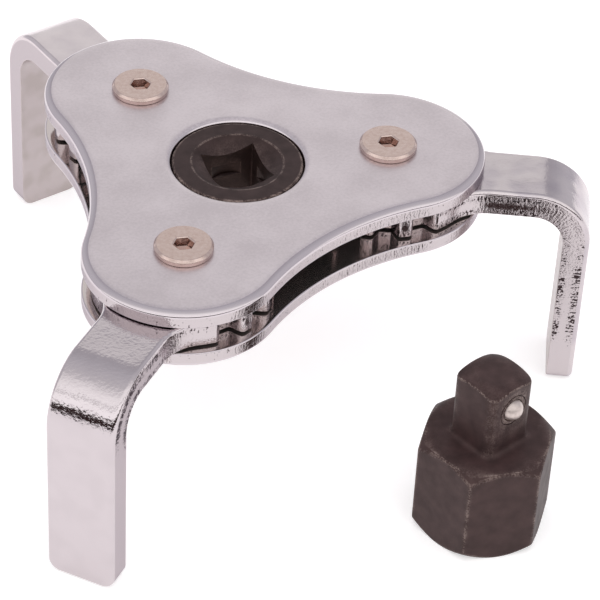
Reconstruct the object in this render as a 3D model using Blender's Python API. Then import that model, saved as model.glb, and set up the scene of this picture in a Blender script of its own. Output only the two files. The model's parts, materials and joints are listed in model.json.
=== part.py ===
# Three-jaw oil filter wrench with its drive adapter standing beside it.
# Two tri-lobed plates sandwich a drive gear and three geared arms. Turning the square in the
# middle swings all three arms about their pivots, so the legs close on a filter from either side.
# Metres, +Z up, standing on z = 0. The whole set is centred on the origin at the end.

import math

import bmesh
import bpy
from mathutils import Matrix, Vector

MM = 0.001

# Plates
PIVOT_RADIUS = 26.0 * MM  # drive axis to each arm pivot
LOBE_MARGIN = 1.55 * MM  # the lobes stand past the arms' teeth
WAIST_RADIUS = 47.6 * MM  # concave edge between two lobes
PLATE_THICKNESS = 3.0 * MM
PLATE_EDGE = 0.5 * MM  # rounding of the plates' edges

# Arms: flat blanks with a toothed head, bent down into a leg
ARM_WIDTH = 12.0 * MM
ARM_THICKNESS = 4.6 * MM
ARM_REACH = 35.7 * MM  # pivot to the outer face of the leg
ARM_HEIGHT = 40.3 * MM  # top of the arm above the leg's tip
BEND_INNER_RADIUS = 5.4 * MM
TIP_CORNER = 2.2 * MM
NECK_FILLET = 8.0 * MM  # between the toothed head and the bar
ARM_EDGE = 0.4 * MM
ARM_REST_ANGLES = (-16.4, -6.6, -6.4)  # degrees from straight out, as the arms stand
SWING_RANGE = (-93.0, 115.0)  # degrees from rest, limits of every arm

# Teeth
GEAR_TEETH = 12
ARM_TEETH = 14  # on a full circle of the arm's head
TOOTH_ADDENDUM = 1.1 * MM
TOOTH_DEDENDUM = 1.4 * MM
TOOTH_BACKLASH = 0.3 * MM
TOOTH_TIP_CHAMFER = 0.3 * MM
PRESSURE_ANGLE = math.radians(20)

# Drive hub
HUB_RADIUS = 11.1 * MM
HUB_RECESS = 0.4 * MM  # hub face below the plate's face
DRIVE_SQUARE = 9.6 * MM  # 3/8 inch drive with clearance
DRIVE_SQUARE_TURN = 11.6  # degrees
COUNTERSINK_RADIUS = 7.8 * MM
COUNTERSINK_SLOPE = math.radians(32)
DETENT_GROOVE_DEPTH = 0.7 * MM
DETENT_GROOVE_WIDTH = 2.4 * MM

# Pivots
SCREW_RADIUS = 2.5 * MM  # M5
SCREW_HEAD_RIM = 2.4 * MM  # head past the shank
SCREW_HEAD_HEIGHT = 1.1 * MM
SCREW_HEAD_CHAMFER = 0.35 * MM
SCREW_TAIL = 0.5 * MM  # past the nut
KEY_SIZE = 3.0 * MM
KEY_DEPTH = 1.8 * MM
SLEEVE_WALL = 1.5 * MM
WASHER_WIDTH = 4.6 * MM
WASHER_THICKNESS = 0.2 * MM
NUT_WALL = 1.3 * MM  # hole to flat, 8 mm across flats
NUT_HEIGHT = 2.7 * MM

# Drive adapter: 3/8 inch square above, 1/2 inch square socket below
HEX_SIZE = 20.6 * MM  # across flats, 13/16 inch
HEX_HEIGHT = 18.6 * MM
HEX_TURN = 2.1  # degrees
HEX_TOP_SETBACK = 0.3 * MM  # round top face inside the flats
HEX_TOP_SLOPE = math.radians(43)
HEX_BASE_SETBACK = 0.1 * MM
HEX_BASE_SLOPE = math.radians(46)
TANG_SIZE = 9.5 * MM
TANG_HEIGHT = 12.9 * MM
TANG_TURN = 30.0  # degrees
TANG_CORNER_CUT = 0.7 * MM  # off the sharp corner
TANG_TOP_SETBACK = 2.15 * MM  # flat of the domed top inside the sides
TANG_TOP_DROP = 1.05 * MM  # from that flat down to the corners
TANG_FILLET = 0.9 * MM
SOCKET_SIZE = 12.8 * MM
SOCKET_DEPTH = 13.0 * MM
ADAPTER_BEARING = -80.4  # degrees, seen from the first pivot
ADAPTER_CLEARANCE = 0.65 * MM  # from its flats to the sweep of the nearest leg

# Ball detent in the adapter's square
BALL_RADIUS = 1.98 * MM
BALL_PROUD = 1.45 * MM
BALL_BELOW_TOP = 4.7 * MM
BALL_GAP = 0.15 * MM
DETENT_WALL = 1.3 * MM  # left behind the bore
SPRING_WIRE_RADIUS = 0.2 * MM
SPRING_TURNS = 5
SPRING_POINTS_PER_TURN = 10

# Clearances
ARM_GAP = 0.2 * MM  # above the arms
RUN_GAP = 0.2 * MM  # round pieces that turn on each other
GEAR_GAP = 0.1 * MM  # between the gear's faces and the plates
SEAT_GAP = 0.1 * MM  # between pieces that are clamped together

# Fineness
ARC_TOLERANCE = 0.05 * MM  # how far a chord may lie from its arc
TURNED_STEPS = 24
CHAMFER_STEPS = 48
BEND_STEPS = 8
FLANK_POINTS = 3  # on each side of a tooth
WELD = 0.001 * MM
CUT_PAST = 1.0 * MM  # how far a cutter runs past the face that it cuts

# Heights, from the floor up
arm_top = ARM_HEIGHT
arm_bottom = arm_top - ARM_THICKNESS
top_plate_bottom = arm_top + ARM_GAP
top_plate_top = top_plate_bottom + PLATE_THICKNESS
washer_top = arm_bottom - SEAT_GAP
washer_bottom = washer_top - WASHER_THICKNESS
bottom_plate_top = washer_bottom - SEAT_GAP
bottom_plate_bottom = bottom_plate_top - PLATE_THICKNESS
nut_top = bottom_plate_bottom - SEAT_GAP
nut_bottom = nut_top - NUT_HEIGHT

gear_pitch_radius = PIVOT_RADIUS * GEAR_TEETH / (GEAR_TEETH + ARM_TEETH)
arm_pitch_radius = PIVOT_RADIUS - gear_pitch_radius
circular_pitch = 2 * math.pi * gear_pitch_radius / GEAR_TEETH
arm_tip_radius = arm_pitch_radius + TOOTH_ADDENDUM
lobe_radius = arm_tip_radius + LOBE_MARGIN
screw_hole_radius = SCREW_RADIUS + RUN_GAP
sleeve_radius = screw_hole_radius + SLEEVE_WALL
bend_outer_radius = BEND_INNER_RADIUS + ARM_THICKNESS
bend_start = ARM_REACH - bend_outer_radius
pivot_angles = [math.radians(120 * index) for index in range(3)]


def clear_scene():
    for obj in list(bpy.data.objects):
        bpy.data.objects.remove(obj, do_unlink=True)


def new_collection(name):
    collection = bpy.data.collections.new(name)
    bpy.context.scene.collection.children.link(collection)
    return collection


def make_material(name, color, metallic, roughness):
    material = bpy.data.materials.new(name)
    material.use_nodes = True
    shader = material.node_tree.nodes["Principled BSDF"]
    shader.inputs["Base Color"].default_value = (*color, 1)
    shader.inputs["Metallic"].default_value = metallic
    shader.inputs["Roughness"].default_value = roughness
    return material


def add_empty(name, parent=None, location=(0, 0, 0), turn=0):
    empty = bpy.data.objects.new(name, None)
    empty.empty_display_size = 10 * MM
    parts.objects.link(empty)
    empty.parent = parent
    empty.location = location
    empty.rotation_euler.z = turn
    return empty


def add_part(name, mesh, material, parent, location=(0, 0, 0), turn=0):
    mesh.name = name
    mesh.materials.clear()
    mesh.materials.append(material)
    mesh.shade_smooth()
    mesh.set_sharp_from_angle(angle=math.radians(30))
    obj = bpy.data.objects.new(name, mesh)
    parts.objects.link(obj)
    obj.parent = parent
    obj.location = location
    obj.rotation_euler.z = turn
    return obj


def add_cutter(name, mesh, parent, location=(0, 0, 0), rotation=(0, 0, 0)):
    obj = bpy.data.objects.new(name, mesh)
    cutters.objects.link(obj)
    obj.hide_render = True
    obj.display_type = "WIRE"
    obj.parent = parent
    obj.location = location
    obj.rotation_euler = rotation
    return obj


def combine(obj, other, operation):
    modifier = obj.modifiers.new(f"{operation.lower()} {other.name}", "BOOLEAN")
    modifier.operation = operation
    modifier.object = other


def mesh_from(builder):
    bm = bmesh.new()
    builder(bm)
    mesh = bpy.data.meshes.new("shape")
    bm.to_mesh(mesh)
    bm.free()
    return mesh


def prism(sides, radius, bottom, top, turn=0.0, top_radius=None):
    """A prism or frustum on the Z axis, with its first corner at this turn from +X."""
    from_y = Matrix.Rotation(turn - math.pi / 2, 4, "Z")

    def build(bm):
        bmesh.ops.create_cone(
            bm,
            cap_ends=True,
            segments=sides,
            radius1=radius,
            radius2=radius if top_radius is None else top_radius,
            depth=top - bottom,
            matrix=from_y @ Matrix.Translation((0, 0, (bottom + top) / 2)),
        )

    return mesh_from(build)


def square_prism(side, bottom, top, turn=0.0):
    return prism(4, side / math.sqrt(2), bottom, top, turn + math.pi / 4)


def turned(profile, steps=TURNED_STEPS):
    """The solid that a closed profile of (radius, height) points sweeps round the Z axis."""

    def build(bm):
        points = [bm.verts.new((radius, 0, height)) for radius, height in profile]
        loop = [bm.edges.new(pair) for pair in zip(points, points[1:] + points[:1])]
        bmesh.ops.spin(
            bm,
            geom=points + loop,
            cent=(0, 0, 0),
            axis=(0, 0, 1),
            angle=2 * math.pi,
            steps=steps,
            use_merge=True,
        )
        bmesh.ops.remove_doubles(bm, verts=bm.verts, dist=WELD)
        bmesh.ops.dissolve_degenerate(bm, edges=bm.edges, dist=WELD)
        bmesh.ops.recalc_face_normals(bm, faces=bm.faces)

    return mesh_from(build)


def arc(centre, radius, start, end):
    step = 2 * math.acos(1 - ARC_TOLERANCE / radius)
    count = math.ceil(abs(end - start) / step)
    angles = [start + (end - start) * index / count for index in range(count + 1)]
    return [(centre[0] + radius * math.cos(a), centre[1] + radius * math.sin(a)) for a in angles]


def circle(centre, radius):
    return arc(centre, radius, 0, 2 * math.pi)[:-1]


def polar(radius, angle):
    return (radius * math.cos(angle), radius * math.sin(angle))


def cut_sheet(outline, holes, bottom, thickness, edge):
    """A flat plate with rounded edges, from a counter-clockwise outline and its holes."""
    curve = bpy.data.curves.new("sheet", "CURVE")
    curve.dimensions = "2D"
    curve.fill_mode = "BOTH"
    curve.extrude = thickness / 2 - edge
    curve.bevel_depth = edge
    curve.bevel_resolution = 0
    curve.offset = -edge
    for loop in [outline[::-1]] + holes:
        spline = curve.splines.new("POLY")
        spline.points.add(len(loop) - 1)
        for point, (x, y) in zip(spline.points, loop):
            point.co = (x, y, 0, 1)
        spline.use_cyclic_u = True
    guide = bpy.data.objects.new("sheet", curve)
    bpy.context.scene.collection.objects.link(guide)
    graph = bpy.context.evaluated_depsgraph_get()
    mesh = bpy.data.meshes.new_from_object(guide.evaluated_get(graph))
    bpy.data.objects.remove(guide)
    bm = bmesh.new()
    bm.from_mesh(mesh)
    bmesh.ops.remove_doubles(bm, verts=bm.verts, dist=WELD)
    bmesh.ops.recalc_face_normals(bm, faces=bm.faces)
    bmesh.ops.translate(bm, verts=bm.verts, vec=(0, 0, bottom + thickness / 2))
    bm.to_mesh(mesh)
    bm.free()
    return mesh


def lobed_outline():
    """Three round lobes on the pivots, joined by concave arcs that meet them tangentially."""
    reach = lobe_radius + WAIST_RADIUS
    waist_centre = PIVOT_RADIUS / 2 + math.sqrt(reach**2 - 0.75 * PIVOT_RADIUS**2)
    across = Vector(polar(waist_centre, math.pi / 3)) - Vector((PIVOT_RADIUS, 0))
    meet = math.atan2(across.y, across.x)
    points = []
    for angle in pivot_angles:
        lobe = arc(polar(PIVOT_RADIUS, angle), lobe_radius, angle - meet, angle + meet)
        waist = arc(
            polar(waist_centre, angle + math.pi / 3),
            WAIST_RADIUS,
            angle + meet + math.pi,
            angle + 2 * math.pi / 3 - meet + math.pi,
        )
        points += lobe + waist[1:-1]
    return points


def tooth_half_angle(radius, pitch_radius):
    """Half the angle that an involute tooth covers at this radius."""

    def involute(at):
        pressure = math.acos(base_radius / at)
        return math.tan(pressure) - pressure

    base_radius = pitch_radius * math.cos(PRESSURE_ANGLE)
    thickness = (circular_pitch - TOOTH_BACKLASH) / 2
    return thickness / (2 * pitch_radius) + involute(pitch_radius) - involute(max(radius, base_radius))


def tooth_gap(centre, pitch_radius):
    """The outline of one gap between two teeth, from tip to tip, counter-clockwise."""
    tip = pitch_radius + TOOTH_ADDENDUM
    root = pitch_radius - TOOTH_DEDENDUM
    half_pitch = circular_pitch / pitch_radius / 2
    shoulder = tip - TOOTH_TIP_CHAMFER
    base_radius = pitch_radius * math.cos(PRESSURE_ANGLE)
    lowest = max(root + TOOTH_TIP_CHAMFER, base_radius)
    fall = (shoulder - lowest) / (FLANK_POINTS - 1)
    radii = [shoulder - fall * index for index in range(FLANK_POINTS)]
    half = [(tip, half_pitch - tooth_half_angle(tip, pitch_radius) + TOOTH_TIP_CHAMFER / tip)]
    half += [(radius, half_pitch - tooth_half_angle(radius, pitch_radius)) for radius in radii]
    half += [(root, half[-1][1] - TOOTH_TIP_CHAMFER / root)]
    falling = [polar(radius, centre - angle) for radius, angle in half]
    rising = [polar(radius, centre + angle) for radius, angle in reversed(half)]
    return falling + rising


def gear_outline():
    """A tooth points straight at each pivot."""
    pitch = 2 * math.pi / GEAR_TEETH
    points = []
    for index in range(GEAR_TEETH):
        points += tooth_gap((index + 0.5) * pitch, gear_pitch_radius)
    return points


def arm_tooth_gaps(rest_angle):
    """Directions of the gaps in an arm's head that the gear can reach over the whole swing."""
    pitch = 2 * math.pi / ARM_TEETH
    tip = arm_tip_radius
    gear_tip = gear_pitch_radius + TOOTH_ADDENDUM
    shared = (tip**2 + PIVOT_RADIUS**2 - gear_tip**2) / (2 * tip * PIVOT_RADIUS)
    reach = math.acos(shared) + pitch / 3
    facing_gear = math.pi - rest_angle
    first = facing_gear - math.radians(SWING_RANGE[1]) - reach
    last = facing_gear - math.radians(SWING_RANGE[0]) + reach
    low = math.ceil((first - facing_gear) / pitch)
    high = math.floor((last - facing_gear) / pitch)
    return [facing_gear + index * pitch for index in range(low, high + 1)]


def arm_blank_outline(rest_angle):
    """The flat arm before bending: toothed head on the pivot, bar and leg along +X."""
    half = ARM_WIDTH / 2
    tip = arm_tip_radius
    fillet_x = math.sqrt((tip + NECK_FILLET) ** 2 - (half + NECK_FILLET) ** 2)
    fillet_y = half + NECK_FILLET
    neck = math.atan2(fillet_y, fillet_x)
    end = bend_start + bend_length() + leg_length()
    corner = end - TIP_CORNER
    points = arc((fillet_x, -fillet_y), NECK_FILLET, math.pi - neck, math.pi / 2)
    points += arc((corner, -half + TIP_CORNER), TIP_CORNER, -math.pi / 2, 0)
    points += arc((corner, half - TIP_CORNER), TIP_CORNER, 0, math.pi / 2)
    points += arc((fillet_x, fillet_y), NECK_FILLET, -math.pi / 2, neck - math.pi)
    gaps = [tooth_gap(direction, arm_pitch_radius) for direction in arm_tooth_gaps(rest_angle)]
    first = math.atan2(gaps[0][0][1], gaps[0][0][0])
    last = math.atan2(gaps[-1][-1][1], gaps[-1][-1][0]) % (2 * math.pi)
    points += arc((0, 0), tip, neck, first)[1:-1]
    for gap in gaps:
        points += gap
    points += arc((0, 0), tip, last, 2 * math.pi - neck)[1:-1]
    return points


def bend_length():
    return (BEND_INNER_RADIUS + ARM_THICKNESS / 2) * math.pi / 2


def leg_length():
    return ARM_HEIGHT - bend_outer_radius


def bend_down(mesh):
    """Bends the blank through a right angle beyond the bend line, about an axis below it."""
    bm = bmesh.new()
    bm.from_mesh(mesh)
    for index in range(BEND_STEPS + 1):
        station = bend_start + bend_length() * index / BEND_STEPS
        bmesh.ops.bisect_plane(
            bm,
            geom=bm.verts[:] + bm.edges[:] + bm.faces[:],
            dist=WELD,
            plane_co=(station, 0, 0),
            plane_no=(1, 0, 0),
        )
    for vert in bm.verts:
        past = vert.co.x - bend_start
        if past <= 0:
            continue
        radius = bend_outer_radius - (arm_top - vert.co.z)
        angle = min(past / bend_length(), 1) * math.pi / 2
        vert.co.x = bend_start + radius * math.sin(angle)
        vert.co.z = arm_top - bend_outer_radius + radius * math.cos(angle) - max(past - bend_length(), 0)
    bm.to_mesh(mesh)
    bm.free()


def make_plates(root):
    holes = [circle((0, 0), HUB_RADIUS + RUN_GAP)]
    holes += [circle(polar(PIVOT_RADIUS, angle), screw_hole_radius) for angle in pivot_angles]
    outline = lobed_outline()
    top = cut_sheet(outline, holes, top_plate_bottom, PLATE_THICKNESS, PLATE_EDGE)
    bottom = cut_sheet(outline, holes, bottom_plate_bottom, PLATE_THICKNESS, PLATE_EDGE)
    add_part("top_plate", top, plate_steel, root)
    add_part("bottom_plate", bottom, plate_steel, root)


def make_drive_gear(root):
    """Toothed between the plates, with a round journal in each plate's hole."""
    bottom = bottom_plate_top + GEAR_GAP
    thickness = top_plate_bottom - GEAR_GAP - bottom
    sheet = cut_sheet(gear_outline(), [], bottom, thickness, ARM_EDGE)
    gear = add_part("drive_gear", sheet, black_oxide, root)
    hub_top = top_plate_top - HUB_RECESS
    hub_bottom = bottom_plate_bottom + HUB_RECESS
    core = gear_pitch_radius - TOOTH_DEDENDUM - ARM_EDGE
    hub = turned(
        [
            (0, hub_top),
            (HUB_RADIUS, hub_top),
            (HUB_RADIUS, arm_top + GEAR_GAP),
            (core, arm_top + GEAR_GAP),
            (core, arm_bottom - GEAR_GAP),
            (HUB_RADIUS, arm_bottom - GEAR_GAP),
            (HUB_RADIUS, hub_bottom),
            (0, hub_bottom),
        ],
        CHAMFER_STEPS,
    )
    combine(gear, add_cutter("hub", hub, root), "UNION")

    turn = math.radians(DRIVE_SQUARE_TURN)
    square = square_prism(DRIVE_SQUARE, hub_bottom - CUT_PAST, hub_top + CUT_PAST, turn)
    combine(gear, add_cutter("drive square", square, root), "DIFFERENCE")
    slope = math.tan(COUNTERSINK_SLOPE)
    depth = COUNTERSINK_RADIUS * slope
    wide = COUNTERSINK_RADIUS + CUT_PAST / slope
    sink = turned([(0, hub_top - depth), (wide, hub_top + CUT_PAST), (0, hub_top + CUT_PAST)])
    combine(gear, add_cutter("countersink", sink, root), "DIFFERENCE")
    middle = (hub_top + hub_bottom) / 2
    groove = prism(
        CHAMFER_STEPS,
        DRIVE_SQUARE / 2 + DETENT_GROOVE_DEPTH,
        middle - DETENT_GROOVE_WIDTH / 2,
        middle + DETENT_GROOVE_WIDTH / 2,
    )
    combine(gear, add_cutter("detent groove", groove, root), "DIFFERENCE")


def make_arm(index, root):
    rest_angle = math.radians(ARM_REST_ANGLES[index])
    bore = circle((0, 0), sleeve_radius + RUN_GAP)
    blank = cut_sheet(arm_blank_outline(rest_angle), [bore], arm_bottom, ARM_THICKNESS, ARM_EDGE)
    bend_down(blank)
    pivot = (*polar(PIVOT_RADIUS, pivot_angles[index]), 0)
    add_part(f"arm_{index + 1}", blank, chrome, root, pivot, pivot_angles[index] + rest_angle)


def make_pivot(index, root):
    """Screw, sleeve, washer and nut on one pivot."""
    pivot = (*polar(PIVOT_RADIUS, pivot_angles[index]), 0)
    number = index + 1
    head_radius = SCREW_RADIUS + SCREW_HEAD_RIM
    head_bottom = top_plate_top + SEAT_GAP
    head_top = head_bottom + SCREW_HEAD_HEIGHT
    screw_profile = [
        (0, head_top),
        (head_radius - SCREW_HEAD_CHAMFER, head_top),
        (head_radius, head_top - SCREW_HEAD_CHAMFER),
        (head_radius, head_bottom),
        (SCREW_RADIUS, head_bottom),
        (SCREW_RADIUS, nut_bottom - SCREW_TAIL),
        (0, nut_bottom - SCREW_TAIL),
    ]
    screw = add_part(f"pivot_screw_{number}", turned(screw_profile), nickel, root, pivot)
    key = prism(6, KEY_SIZE / math.sqrt(3), head_top - KEY_DEPTH, head_top + CUT_PAST)
    combine(screw, add_cutter(f"key {number}", key, root, pivot), "DIFFERENCE")

    tube = ring(screw_hole_radius, sleeve_radius, bottom_plate_top + SEAT_GAP, top_plate_bottom - SEAT_GAP)
    add_part(f"pivot_sleeve_{number}", tube, plain_steel, root, pivot)
    washer_hole = sleeve_radius + RUN_GAP
    washer = ring(washer_hole, washer_hole + WASHER_WIDTH, washer_bottom, washer_top)
    add_part(f"thrust_washer_{number}", washer, plain_steel, root, pivot)

    nut_corner = (screw_hole_radius + NUT_WALL) / math.cos(math.pi / 6)
    blank = prism(6, nut_corner, nut_bottom, nut_top)
    nut = add_part(f"pivot_nut_{number}", blank, nickel, root, pivot)
    hole = prism(TURNED_STEPS, screw_hole_radius, nut_bottom - CUT_PAST, nut_top + CUT_PAST)
    combine(nut, add_cutter(f"nut hole {number}", hole, root, pivot), "DIFFERENCE")


def ring(inner, outer, bottom, top):
    return turned([(inner, top), (outer, top), (outer, bottom), (inner, bottom)])


def adapter_place():
    """Beside the wrench, just clear of the circle that the first arm's leg can sweep."""
    sweep = math.hypot(ARM_REACH, ARM_WIDTH / 2)
    distance = sweep + ADAPTER_CLEARANCE + HEX_SIZE / 2
    offset = polar(distance, math.radians(ADAPTER_BEARING))
    return (PIVOT_RADIUS + offset[0], offset[1], 0)


def make_adapter(root):
    stand = add_empty("adapter axis", root, adapter_place())
    turn = math.radians(TANG_TURN)
    corner = HEX_SIZE / math.sqrt(3)
    hexagon = prism(6, corner, 0, HEX_HEIGHT, math.radians(HEX_TURN))
    body = add_part("adapter_body", hexagon, black_oxide, stand)
    combine(body, hex_chamfers(corner, stand), "INTERSECT")
    combine(body, tang(turn, stand), "UNION")
    socket = square_prism(SOCKET_SIZE, -CUT_PAST, SOCKET_DEPTH, turn)
    combine(body, add_cutter("socket", socket, stand), "DIFFERENCE")
    make_detent(stand, body, HEX_HEIGHT + TANG_HEIGHT, turn - math.pi / 2)


def hex_chamfers(corner, stand):
    """The double cone that the ends of the hexagon are turned to."""
    rise = math.tan(HEX_TOP_SLOPE)
    base_rise = math.tan(HEX_BASE_SLOPE)
    top_radius = HEX_SIZE / 2 - HEX_TOP_SETBACK
    base_radius = HEX_SIZE / 2 - HEX_BASE_SETBACK
    wide = corner + CUT_PAST
    profile = [
        (0, HEX_HEIGHT + CUT_PAST),
        (top_radius - CUT_PAST / rise, HEX_HEIGHT + CUT_PAST),
        (wide, HEX_HEIGHT - (wide - top_radius) * rise),
        (wide, (wide - base_radius) * base_rise),
        (base_radius - CUT_PAST / base_rise, -CUT_PAST),
        (0, -CUT_PAST),
    ]
    return add_cutter("hex chamfers", turned(profile, CHAMFER_STEPS), stand)


def tang(turn, stand):
    """The adapter's square with rounded corners, a flared foot and a domed top."""
    top = HEX_HEIGHT + TANG_HEIGHT
    half = TANG_SIZE / 2
    corner = half * math.sqrt(2) - TANG_CORNER_CUT
    foot = HEX_HEIGHT - CUT_PAST
    flat = half - TANG_TOP_SETBACK
    dome_radius = ((corner - flat) ** 2 + TANG_TOP_DROP**2) / (2 * TANG_TOP_DROP)
    dome_end = math.asin((dome_radius - TANG_TOP_DROP) / dome_radius)
    profile = [
        (0, top),
        *arc((flat, top - dome_radius), dome_radius, math.pi / 2, dome_end),
        (corner, HEX_HEIGHT + TANG_FILLET),
        (corner + TANG_FILLET + CUT_PAST, foot),
        (0, foot),
    ]
    solid = add_cutter("tang", turned(profile, CHAMFER_STEPS), stand)
    sides = add_cutter("tang sides", square_prism(TANG_SIZE, foot - CUT_PAST, top + CUT_PAST, turn), stand)
    flare = prism(
        4,
        (half + TANG_FILLET + 2 * CUT_PAST) * math.sqrt(2),
        foot - CUT_PAST,
        HEX_HEIGHT + TANG_FILLET + CUT_PAST,
        turn + math.pi / 4,
        (half - CUT_PAST) * math.sqrt(2),
    )
    combine(sides, add_cutter("tang flare", flare, stand), "UNION")
    combine(solid, sides, "INTERSECT")
    return solid


def make_detent(stand, body, tang_top, facing):
    """Spring-loaded ball in one side of the adapter's square, facing that direction."""
    height = tang_top - BALL_BELOW_TOP
    face = TANG_SIZE / 2
    ball_centre = face + BALL_PROUD - BALL_RADIUS
    bore_end = DETENT_WALL - face
    detent = add_empty("detent axis", stand, (0, 0, height), facing)
    sideways = (0, math.pi / 2, 0)
    bore_radius = BALL_RADIUS + BALL_GAP
    bore = prism(TURNED_STEPS, bore_radius, bore_end, face + CUT_PAST)
    combine(body, add_cutter("detent bore", bore, detent, (0, 0, 0), sideways), "DIFFERENCE")

    def ball_shape(bm):
        bmesh.ops.create_icosphere(bm, subdivisions=3, radius=BALL_RADIUS)

    add_part("detent_ball", mesh_from(ball_shape), ball_steel, detent, (ball_centre, 0, 0))

    coil_radius = bore_radius - RUN_GAP - SPRING_WIRE_RADIUS
    behind_ball = BALL_RADIUS * math.sqrt(1 - (coil_radius / BALL_RADIUS) ** 2)
    start = bore_end + SPRING_WIRE_RADIUS + SEAT_GAP
    end = ball_centre - behind_ball - SPRING_WIRE_RADIUS - RUN_GAP
    count = SPRING_TURNS * SPRING_POINTS_PER_TURN
    curve = bpy.data.curves.new("detent_spring", "CURVE")
    curve.dimensions = "3D"
    curve.bevel_depth = SPRING_WIRE_RADIUS
    curve.bevel_resolution = 1
    curve.use_fill_caps = True
    spline = curve.splines.new("POLY")
    spline.points.add(count)
    for step, point in enumerate(spline.points):
        around = 2 * math.pi * step / SPRING_POINTS_PER_TURN
        along = start + (end - start) * step / count
        point.co = (along, coil_radius * math.cos(around), coil_radius * math.sin(around), 1)
    curve.materials.append(plain_steel)
    spring = bpy.data.objects.new("detent_spring", curve)
    parts.objects.link(spring)
    spring.parent = detent
    gap = (end - start) / SPRING_TURNS - 2 * SPRING_WIRE_RADIUS
    print(f"detent spring: {gap / MM:.2f} mm between turns")


def centre_on_origin(root):
    """Puts the middle of the set's footprint at the origin."""
    bpy.context.view_layer.update()
    graph = bpy.context.evaluated_depsgraph_get()
    low = Vector((math.inf, math.inf))
    high = Vector((-math.inf, -math.inf))
    for obj in parts.objects:
        if obj.type == "EMPTY":
            continue
        solid = obj.evaluated_get(graph)
        mesh = solid.to_mesh()
        for vert in mesh.vertices:
            x, y, _ = obj.matrix_world @ vert.co
            low = Vector((min(low.x, x), min(low.y, y)))
            high = Vector((max(high.x, x), max(high.y, y)))
        solid.to_mesh_clear()
    middle = (low + high) / 2
    root.location = (-middle.x, -middle.y, 0)
    bpy.context.view_layer.update()
    for obj in parts.objects:
        print(obj.name, "at", [round(value / MM, 3) for value in obj.matrix_world.translation], "mm")


clear_scene()
parts = new_collection("oil_filter_wrench")
cutters = new_collection("cutters")
plate_steel = make_material("satin nickel plate", (0.55, 0.51, 0.52), 1.0, 0.35)
chrome = make_material("chrome plate", (0.62, 0.58, 0.59), 1.0, 0.12)
nickel = make_material("nickel plate", (0.5, 0.4, 0.35), 1.0, 0.3)
plain_steel = make_material("plain steel", (0.4, 0.4, 0.4), 1.0, 0.4)
ball_steel = make_material("ball steel", (0.7, 0.68, 0.67), 1.0, 0.15)
black_oxide = make_material("black oxide", (0.05, 0.04, 0.04), 0.6, 0.5)

drive_axis = add_empty("drive axis")
make_plates(drive_axis)
make_drive_gear(drive_axis)
for arm_index in range(len(pivot_angles)):
    make_arm(arm_index, drive_axis)
    make_pivot(arm_index, drive_axis)
make_adapter(drive_axis)
centre_on_origin(drive_axis)
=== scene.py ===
import json
import math

import bmesh
import bpy
from mathutils import Matrix, Vector


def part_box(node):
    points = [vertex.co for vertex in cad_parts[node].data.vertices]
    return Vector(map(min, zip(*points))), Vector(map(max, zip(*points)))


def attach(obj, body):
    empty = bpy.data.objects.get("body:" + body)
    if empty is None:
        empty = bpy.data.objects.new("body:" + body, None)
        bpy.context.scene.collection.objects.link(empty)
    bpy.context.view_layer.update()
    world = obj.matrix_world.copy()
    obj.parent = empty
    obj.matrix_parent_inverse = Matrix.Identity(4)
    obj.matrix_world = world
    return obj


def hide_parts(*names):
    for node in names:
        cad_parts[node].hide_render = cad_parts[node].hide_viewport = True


# Oil filter wrench with three geared arms, and the hexagon adapter that stands beside it.
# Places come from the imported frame. Sizes in the dictionaries are millimetres, angles degrees.
mm = 0.001

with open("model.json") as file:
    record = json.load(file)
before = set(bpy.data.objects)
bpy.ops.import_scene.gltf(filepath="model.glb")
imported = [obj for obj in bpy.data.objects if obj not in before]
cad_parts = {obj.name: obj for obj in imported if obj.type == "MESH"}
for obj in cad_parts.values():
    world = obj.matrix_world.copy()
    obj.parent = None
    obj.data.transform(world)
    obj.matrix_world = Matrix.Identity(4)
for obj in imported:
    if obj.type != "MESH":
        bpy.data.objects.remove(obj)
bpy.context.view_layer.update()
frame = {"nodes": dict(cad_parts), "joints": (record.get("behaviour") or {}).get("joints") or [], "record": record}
joints = {joint["name"]: joint for joint in frame["joints"]}
mounts = {mount["name"]: mount for mount in frame["record"]["mounts"]}
driveAxis = Vector(joints["drive_turn"]["pos_m"]).xy
pivots = [Vector(joints[f"arm_swing_{number}"]["pos_m"]).xy for number in (1, 2, 3)]
pivotRadius = (pivots[0] - driveAxis).length
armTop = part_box("arm_1")[1].z
print("frame loaded,", len(frame["nodes"]), "nodes")


# shared tools

def linear(hexColor):
    # sRGB hex to the linear colour that a shader takes
    channels = [int(hexColor[start:start + 2], 16) / 255 for start in (1, 3, 5)]
    return [c / 12.92 if c <= 0.04045 else ((c + 0.055) / 1.055) ** 2.4 for c in channels] + [1.0]


def fillNode(tree, node, settings={}, links={}):
    # settings go to inputs, properties or ramp stops; links bring an output, or a node's first, to an input
    for name, value in settings.items():
        if name == "stops":
            ramp = node.color_ramp.elements
            while len(ramp) < len(value):
                ramp.new(1.0)
            for element, (place, color) in zip(ramp, value):
                element.position = place
                element.color = color
        elif isinstance(name, int) or name in node.inputs:
            node.inputs[name].default_value = value
        else:
            setattr(node, name, value)
    for name, source in links.items():
        output = source.outputs[0] if isinstance(source, bpy.types.Node) else source
        tree.links.new(output, node.inputs[name])
    return node


def addNode(tree, kind, settings={}, links={}):
    return fillNode(tree, tree.nodes.new("ShaderNode" + kind), settings, links)


def newMaterial(name, color, metallic=1.0):
    material = bpy.data.materials.new(name)
    material.use_nodes = True
    tree = material.node_tree
    settings = {"Base Color": linear(color), "Metallic": metallic}
    return material, tree, fillNode(tree, tree.nodes["Principled BSDF"], settings)


def perMm(size):
    # texture scale for a pattern of this size in millimetres
    return 1 / (size * mm)


def metres(shape, *names):
    # sizes out of a dictionary, turned from millimetres
    return [shape[name] * mm for name in names]


def addObject(name, data):
    made = bpy.data.objects.new(name, data)
    bpy.context.scene.collection.objects.link(made)
    return made


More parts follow.
